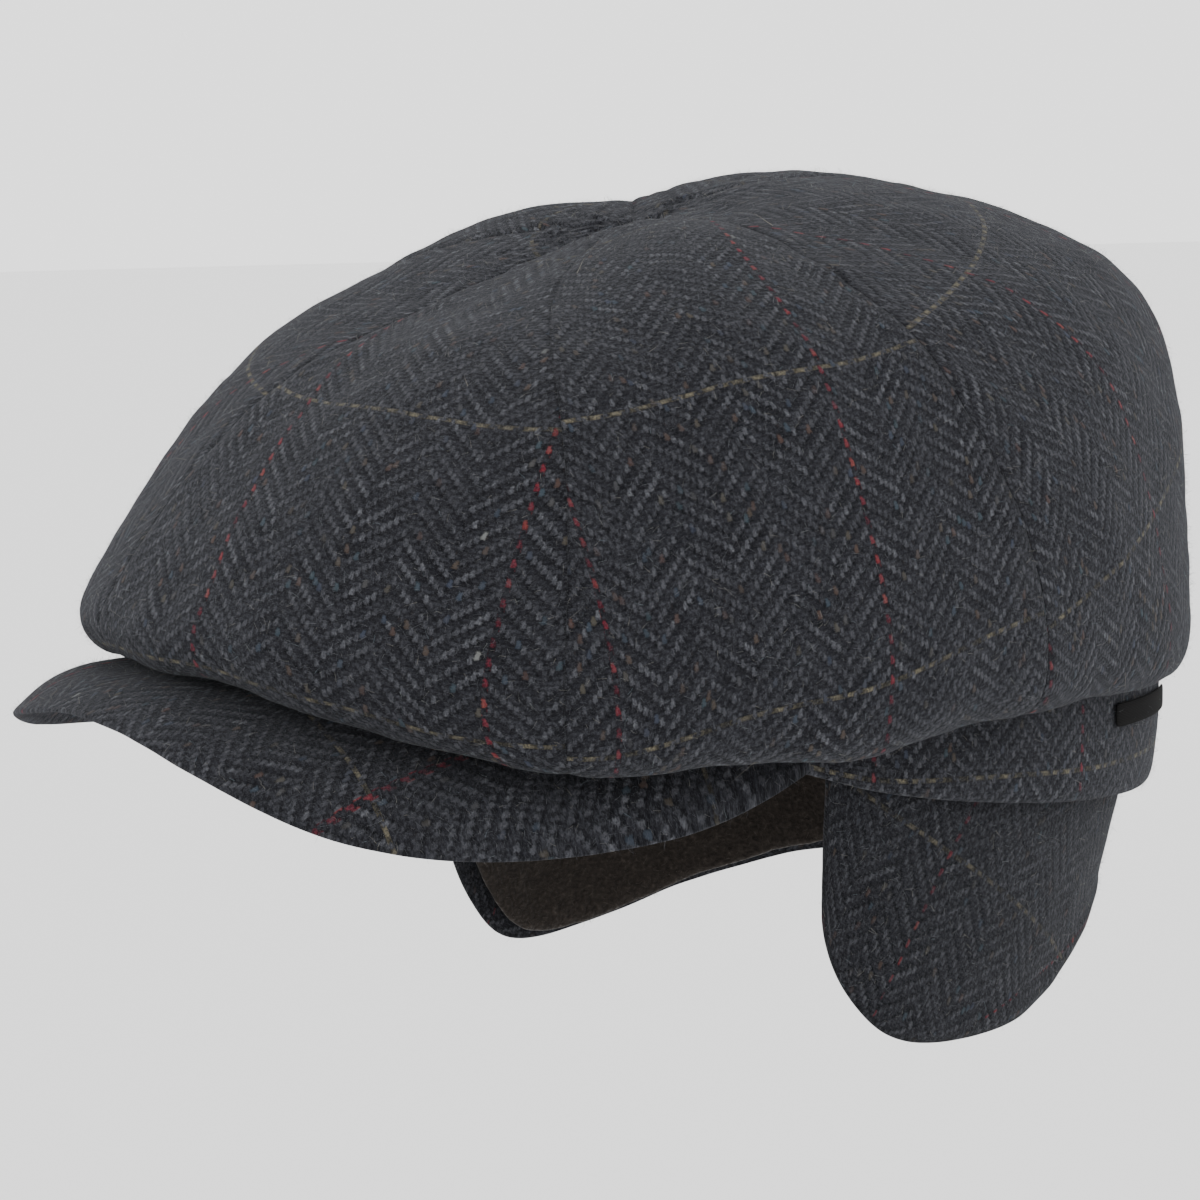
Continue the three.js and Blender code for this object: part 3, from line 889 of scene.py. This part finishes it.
def tweedMaterial(name, look):
    material, tree, shader = newMaterial(name)
    u, v = layer(tree, "weave")
    windowU, windowV = layer(tree, "windows")
    flatU, flatV = strayed(u, v, look["wanderPerMm"], look["wander"])
    u, v = strayed(flatU, flatV, look["raggedPerMm"], look["ragged"])
    ends = calc("DIVIDE", u, weaveSize["end"])
    picks = calc("DIVIDE", v, weaveSize["pick"])
    end, pick = calc("FLOOR", ends), calc("FLOOR", picks)

    # the twill climbs one pick per end, and turns back at each column
    turn, repeat = weaveSize["columnEnds"], weaveSize["repeat"]
    column = calc("FLOOR", calc("DIVIDE", end, turn))
    shift = calc("MULTIPLY", calc("FLOORED_MODULO", column, 2), repeat / 2)
    climb = calc("FLOOR", calc("PINGPONG", calc("ADD", end, 0.5), turn))
    climb = calc("ADD", climb, shift)
    slope = calc("ADD", calc("PINGPONG", ends, turn), shift)
    warpTurn = calc("DIVIDE", calc("ADD", picks, climb), repeat)
    weftTurn = calc("DIVIDE", calc("ADD", calc("ADD", pick, 0.5), slope), repeat)
    warpRise = calc("SINE", calc("MULTIPLY", warpTurn, 2 * math.pi))
    warpRise = calc("ADD", warpRise, look["longFloats"])
    weftRise = calc("SINE", calc("MULTIPLY", weftTurn, -2 * math.pi))
    warpHeight = calc("MULTIPLY", warpRise, bulge(ends))
    weftHeight = calc("MULTIPLY", weftRise, bulge(picks))

    # fine fibres along the warp, and one random shade per float; the last number of each
    # place only sets one noise apart from another
    fine = vector(calc("MULTIPLY", u, look["fibreStretch"]), v, 0)
    fibre = noiseAt(fine, look["fibrePerMm"], detail=5).outputs[0]
    fibre = rescale(fibre, 0.5 - 0.5 / look["fibre"], 0.5 + 0.5 / look["fibre"])
    warpFloat, weftFloat = calc("FLOOR", warpTurn), calc("FLOOR", weftTurn)
    warpShade = randomAt(vector(end, warpFloat, 0))
    weftShade = randomAt(vector(weftFloat, pick, 7))
    luck = randomAt(vector(warpFloat, end, 31))
    warp = ramp(weigh(look["warpTone"], warpShade, fibre), look["warp"])
    flecked = calc("LESS_THAN", luck, look["fleckShare"])
    warp = blend(flecked, warp, ramp(warpShade, look["fleck"]))
    specked = calc("GREATER_THAN", luck, 1 - look["nepShare"])
    warp = blend(specked, warp, look["nep"])
    weftTone = weigh(look["weftTone"], weftShade, fibre)
    weft = ramp(weftTone, look["weft"])

    # the nap, which veils both yarns in places
    veil = noiseAt(vector(flatU, flatV, 3), 1 / look["napSize"], detail=6).outputs[0]
    veil = rescale(veil, *look["napLimits"], look["napLeast"], look["napMost"])
    coarse = vector(calc("MULTIPLY", u, look["napStretch"]), v, 5)
    matted = ramp(noiseAt(coarse, look["napPerMm"], detail=4).outputs[0], look["nap"])
    warp = blend(veil, warp, matted)
    weft = blend(veil, weft, matted)

    # the window check: a red end and a tan pick, which the nap veils less
    clear = calc("SUBTRACT", 1, calc("MULTIPLY", veil, look["napOverLines"]))
    isRed = isLine(windowU, look["lineWidth"] / weaveSize["redEnds"])
    isTan = isLine(windowV, look["lineWidth"] / weaveSize["tanPicks"])
    red = ramp(weigh(look["redTone"], warpShade, fibre), look["red"])
    warp = blend(calc("MULTIPLY", isRed, clear), warp, red)
    tan = ramp(weftTone, look["tan"])
    weft = blend(calc("MULTIPLY", isTan, clear), weft, tan)
    leans = [streaks(flatU, flatV, lean, look) for lean in look["hairLeans"]]
    hairs = rescale(calc("MAXIMUM", *leans), *look["hairLimits"], 0, look["hairShare"])

    # whichever yarn is on top shows; painted shade darkens it where it dives under, and at a seam
    onTop = rescale(calc("SUBTRACT", warpHeight, weftHeight), *look["warpLimits"])
    height = calc("MAXIMUM", warpHeight, weftHeight)
    # painted shade: the yarn's colour follows its height, darker where it dives under
    depth = rescale(height, *look["diveLimits"], look["deep"], look["high"])
    # painted shade: a thin dark line where the cloth turns in at a seam
    atSeam = rescale(attribute(tree, "toSeam"), *look["seamLimits"], look["seamShade"], 1)
    depth = calc("MULTIPLY", depth, atSeam)
    yarns = blend(onTop, weft, warp)
    cloth = blend(1, yarns, vector(depth, depth, depth), "MULTIPLY")
    cloth = blend(hairs, cloth, look["hair"])
    feed(shader.inputs["Base Color"], cloth)
    addBump(shader, calc("ADD", height, calc("ADD", fibre, hairs)), look)
    setFinish(shader, look)
    return material


pileLook = {
    "colours": [
        (0.25, (0.009, 0.0072, 0.006)), (0.6, (0.02, 0.0162, 0.0135)), (0.85, (0.045, 0.037, 0.031)),
    ],
    "tuftsPerMetre": 900, "bump": 0.8, "bumpHeight": 0.8,
    "roughness": 1, "gloss": 0.1, "sheen": 0.12,
}


def pileMaterial(look):
    material, tree, shader = newMaterial("fleece_pile")
    place = tree.nodes.new("ShaderNodeTexCoord").outputs["Object"]
    tufts = noiseAt(place, look["tuftsPerMetre"], detail=3).outputs[0]
    feed(shader.inputs["Base Color"], ramp(tufts, look["colours"]))
    addBump(shader, tufts, look)
    setFinish(shader, look)
    return material


labelLook = {
    "dark": (0.0027, 0.0027, 0.0027), "light": (0.00855, 0.00855, 0.00855),
    "ribs": 900, "ribWander": 1, "bump": 0.4, "bumpHeight": 0.1,
    "roughness": 0.85, "gloss": 0.03,
}


def labelMaterial(look):
    material, tree, shader = newMaterial("woven_label")
    place = tree.nodes.new("ShaderNodeTexCoord").outputs["Object"]
    wave = newNode("ShaderNodeTexWave", place)
    wave.bands_direction = "Z"
    feed(wave.inputs["Scale"], look["ribs"])
    feed(wave.inputs["Distortion"], look["ribWander"])
    feed(wave.inputs["Vector"], place)
    ribs = wave.outputs["Fac"]
    feed(shader.inputs["Base Color"], blend(ribs, look["dark"], look["light"]))
    addBump(shader, ribs, look)
    setFinish(shader, look)
    return material


strandLook = {
    "wool": [
        (0, (0.012, 0.012, 0.016)), (0.45, (0.05, 0.052, 0.06)), (0.8, (0.13, 0.135, 0.145)),
        (0.94, (0.2, 0.19, 0.16)), (1, (0.12, 0.16, 0.19)),
    ],
    "pile": [(0, (0.012, 0.0098, 0.0082)), (0.8, (0.034, 0.028, 0.024)), (1, (0.07, 0.06, 0.05))],
    "stray": [(0, (0.05, 0.05, 0.055)), (0.6, (0.13, 0.12, 0.1)), (1, (0.3, 0.27, 0.22))],
    "roughness": 0.8, "gloss": 0.2,
}


def strandMaterial(name, kind, look):
    material, tree, shader = newMaterial(name)
    feed(shader.inputs["Base Color"], ramp(attribute(tree, "shade"), look[kind]))
    setFinish(shader, look)
    return material


tweed = tweedMaterial("herringbone_tweed", tweedLook)
# the flap's tweed: a rubbed, softer nap, and painted shade that darkens it all over
flapTweed = tweedMaterial("herringbone_tweed_rubbed", flapLook)
pile = pileMaterial(pileLook)
woven = labelMaterial(labelLook)
looseWool = strandMaterial("loose_wool_fibre", "wool", strandLook)
strayHair = strandMaterial("stray_hair", "stray", strandLook)
pileFibre = strandMaterial("pile_fibre", "pile", strandLook)
tweedPieces = [*crownPieces, bandPiece, visorPiece, flapPiece]
for piece in tweedPieces:
    piece.data.materials.append(flapTweed if piece is flapPiece else tweed)
liningPiece.data.materials.append(pile)
labelPiece.data.materials.append(woven)
print("materials ready")


# Loose fibres: thin closed strands scattered over the cloth's outer face, which points away
# from the centre; sizes in mm from least to most, tilt in radians
fuzzSetup = {
    "perSquareMetre": 270000, "centre": (0, -0.02, 0.0),
    "length": (0.8, 3), "width": (0.04, 0.07), "lift": (0.2, 1.25), "tilt": 0.45,
    "seed": 5,
}
straySetup = {   # a few long hairs that have worked loose
    "perSquareMetre": 700, "centre": (0, -0.02, 0.0),
    "length": (3.5, 9), "width": (0.07, 0.12), "lift": (0.3, 1.2), "tilt": 0.2,
    "seed": 21,
}
pileSetup = {   # on the face towards the head
    "perSquareMetre": 820000, "centre": (0, 0, 0), "inside": True,
    "length": (0.5, 1.6), "width": (0.06, 0.11), "lift": (0.8, 1.7), "tilt": 0.8,
    "seed": 9,
}
# Four strands: the bend sideways in widths, and where it is highest along its length
strandKinds = [(-16, 1), (9, 0.75), (18, 1), (-6, 0.6)]
# All taper to a point, and are one unit long, wide and high until they are scattered
strandForm = {"sides": 3, "segments": 2, "radius": 0.5, "thickness": 0.03, "weld": 0.001}


def strandShape(bend, highest, form):
    mesh = bmesh.new()
    bmesh.ops.create_grid(mesh, x_segments=form["sides"], y_segments=form["segments"], size=0.5)
    for vert in mesh.verts:
        turn, along = (vert.co.x + 0.5) * 2 * math.pi, vert.co.y + 0.5
        radius = form["radius"] * (1 - along)
        arch = math.sin(math.pi / 2 * min(1, along / highest))
        vert.co = (
            along,
            radius * math.cos(turn) + bend * along ** 2,
            arch + form["thickness"] * radius * math.sin(turn),
        )
    bmesh.ops.remove_doubles(mesh, verts=mesh.verts, dist=form["weld"])
    bmesh.ops.holes_fill(mesh, edges=mesh.edges, sides=form["sides"])
    bmesh.ops.recalc_face_normals(mesh, faces=mesh.faces)
    data = bpy.data.meshes.new("strand")
    mesh.to_mesh(data)
    mesh.free()
    return bpy.data.objects.new("strand", data)


# Geometry nodes that scatter strands; sockets go by number, because some share a name
def scatterGroup(name, values, strands, material):
    tree = bpy.data.node_groups.new(name, "GeometryNodeTree")
    tree.interface.new_socket("Geometry", in_out="INPUT", socket_type="NodeSocketGeometry")
    tree.interface.new_socket("Geometry", in_out="OUTPUT", socket_type="NodeSocketGeometry")

    def node(kind, links=(), **settings):
        made = tree.nodes.new(kind)
        for key, value in settings.items():
            setattr(made, key, value)
        for socket, value in links:
            if isinstance(value, bpy.types.NodeSocket):
                tree.links.new(value, made.inputs[socket])
            else:
                made.inputs[socket].default_value = value
        return made

    def randomBetween(low, high, seed):
        inputs = [(0, low), (1, high), (8, seed)]
        return node("FunctionNodeRandomValue", inputs, data_type="FLOAT_VECTOR").outputs[0]

    source = node("NodeGroupInput").outputs[0]
    place = node("GeometryNodeInputPosition").outputs[0]
    normal = node("GeometryNodeInputNormal").outputs[0]
    out = [(0, place), (1, values["centre"])]
    out = node("ShaderNodeVectorMath", out, operation="SUBTRACT").outputs[0]
    facing = node("ShaderNodeVectorMath", [(0, normal), (1, out)], operation="DOT_PRODUCT").outputs[1]
    outside = node("FunctionNodeCompare", [(0, facing), (1, 0.0)], operation="GREATER_THAN").outputs[0]
    if values.get("inside"):
        outside = node("FunctionNodeBooleanMath", [(0, outside)], operation="NOT").outputs[0]
    spread = node("GeometryNodeDistributePointsOnFaces", [
        (0, source), (1, outside), (4, values["perSquareMetre"]), (6, values["seed"]),
    ])
    tilt = values["tilt"]
    turn = randomBetween((-tilt, -tilt, 0), (tilt, tilt, 2 * math.pi), values["seed"] + 1)
    turn = node("FunctionNodeEulerToRotation", [(0, turn)]).outputs[0]
    turn = [(0, spread.outputs["Rotation"]), (1, turn)]
    turn = node("FunctionNodeRotateRotation", turn, rotation_space="LOCAL").outputs[0]
    sizes = (values["length"], values["width"], values["lift"])
    least, most = (tuple(size[n] * mm for size in sizes) for n in range(2))
    scale = randomBetween(least, most, values["seed"] + 2)
    join = node("GeometryNodeJoinGeometry")
    for strand in reversed(strands):
        info = node("GeometryNodeObjectInfo", [("Object", strand), ("As Instance", True)])
        tree.links.new(info.outputs["Geometry"], join.inputs[0])
    placed = node("GeometryNodeInstanceOnPoints", [
        (0, spread.outputs["Points"]), (2, join.outputs[0]), (3, True), (5, turn), (6, scale),
    ])
    shade = node("FunctionNodeRandomValue", [(8, values["seed"] + 3)], data_type="FLOAT").outputs[1]
    shaded = node(
        "GeometryNodeStoreNamedAttribute", [(0, placed.outputs[0]), (2, "shade"), (3, shade)],
        data_type="FLOAT", domain="INSTANCE",
    )
    real = node("GeometryNodeRealizeInstances", [(0, shaded.outputs[0])])
    coloured = node("GeometryNodeSetMaterial", [(0, real.outputs[0]), (2, material)])
    node("NodeGroupOutput", [(0, coloured.outputs[0])])
    return tree


def addStrands(name, piece, group):
    strands = bpy.data.objects.new(name, piece.data.copy())
    bpy.context.collection.objects.link(strands)
    scatter = strands.modifiers.new("scatter", "NODES")
    scatter.node_group = group
    settle(strands)
    return strands


strands = [strandShape(bend, highest, strandForm) for bend, highest in strandKinds]
fuzzGroup = scatterGroup("scatterWool", fuzzSetup, strands, looseWool)
strayGroup = scatterGroup("scatterStray", straySetup, strands, strayHair)
pileGroup = scatterGroup("scatterPile", pileSetup, strands, pileFibre)
fuzzPieces = [addStrands(piece.name.replace("tweed", "fuzz"), piece, fuzzGroup) for piece in tweedPieces]
strayPieces = [
    addStrands(piece.name.replace("tweed", "stray_hairs"), piece, strayGroup) for piece in crownPieces
]
pileTufts = addStrands("pile_tufts", liningPiece, pileGroup)
for group in (fuzzGroup, strayGroup, pileGroup):
    bpy.data.node_groups.remove(group)
for strand in strands:
    bpy.data.objects.remove(strand)
fibrePieces = [*fuzzPieces, *strayPieces, pileTufts]
print("fibres ready,", sum(len(piece.data.polygons) for piece in fibrePieces), "faces")


# Every piece rides on the root; the model's own parts that they replace are hidden
slotPieces = {
    "tweed": [*tweedPieces, *fuzzPieces, *strayPieces],
    "pile": [liningPiece, pileTufts],
    "label": [labelPiece],
}
for slot, pieces in slotPieces.items():
    for piece in pieces:
        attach(piece, "root")
for name, piece in zip(panelNames, crownPieces):
    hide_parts("crown_panel_" + name)
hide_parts("band")
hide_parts("visor")
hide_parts("ear_flap")
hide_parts("ear_flap_lining")
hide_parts("side_tag")


# Floor and light
stageSetup = {
    "floorHeight": -0.9, "floorSize": 40, "floorColour": (0.86, 0.86, 0.86), "roughness": 0.9,
    "worldStrength": 2,
    "lampAim": (0, 0, 0.04),
    "lamps": [   # place, size, watts
        ((-1.2, -1.6, 0.6), 1.4, 15), ((1.8, -0.6, 0.8), 1.4, 3), ((1.2, 1.6, 0.6), 1.6, 16),
    ],
}


def makeStage(setup):
    mesh = bmesh.new()
    bmesh.ops.create_grid(mesh, x_segments=1, y_segments=1, size=setup["floorSize"] / 2)
    bmesh.ops.translate(mesh, verts=mesh.verts, vec=(0, 0, setup["floorHeight"]))
    floor = meshObject("floor", mesh)
    material, tree, shader = newMaterial("pale_floor")
    feed(shader.inputs["Base Color"], setup["floorColour"])
    setFinish(shader, setup)
    floor.data.materials.append(material)
    world = bpy.data.worlds.new("studio")
    world.use_nodes = True
    background = world.node_tree.nodes["Background"]
    background.inputs["Color"].default_value = (1, 1, 1, 1)
    background.inputs["Strength"].default_value = setup["worldStrength"]
    bpy.context.scene.world = world
    for n, (place, size, watts) in enumerate(setup["lamps"]):
        data = bpy.data.lights.new(f"softbox_{n}", "AREA")
        data.size = size
        data.energy = watts
        lamp = bpy.data.objects.new(f"softbox_{n}", data)
        bpy.context.collection.objects.link(lamp)
        lamp.location = place
        lamp.rotation_mode = "QUATERNION"
        aim = Vector(setup["lampAim"]) - Vector(place)
        lamp.rotation_quaternion = aim.to_track_quat("-Z", "Y")


makeStage(stageSetup)
print("stage ready")
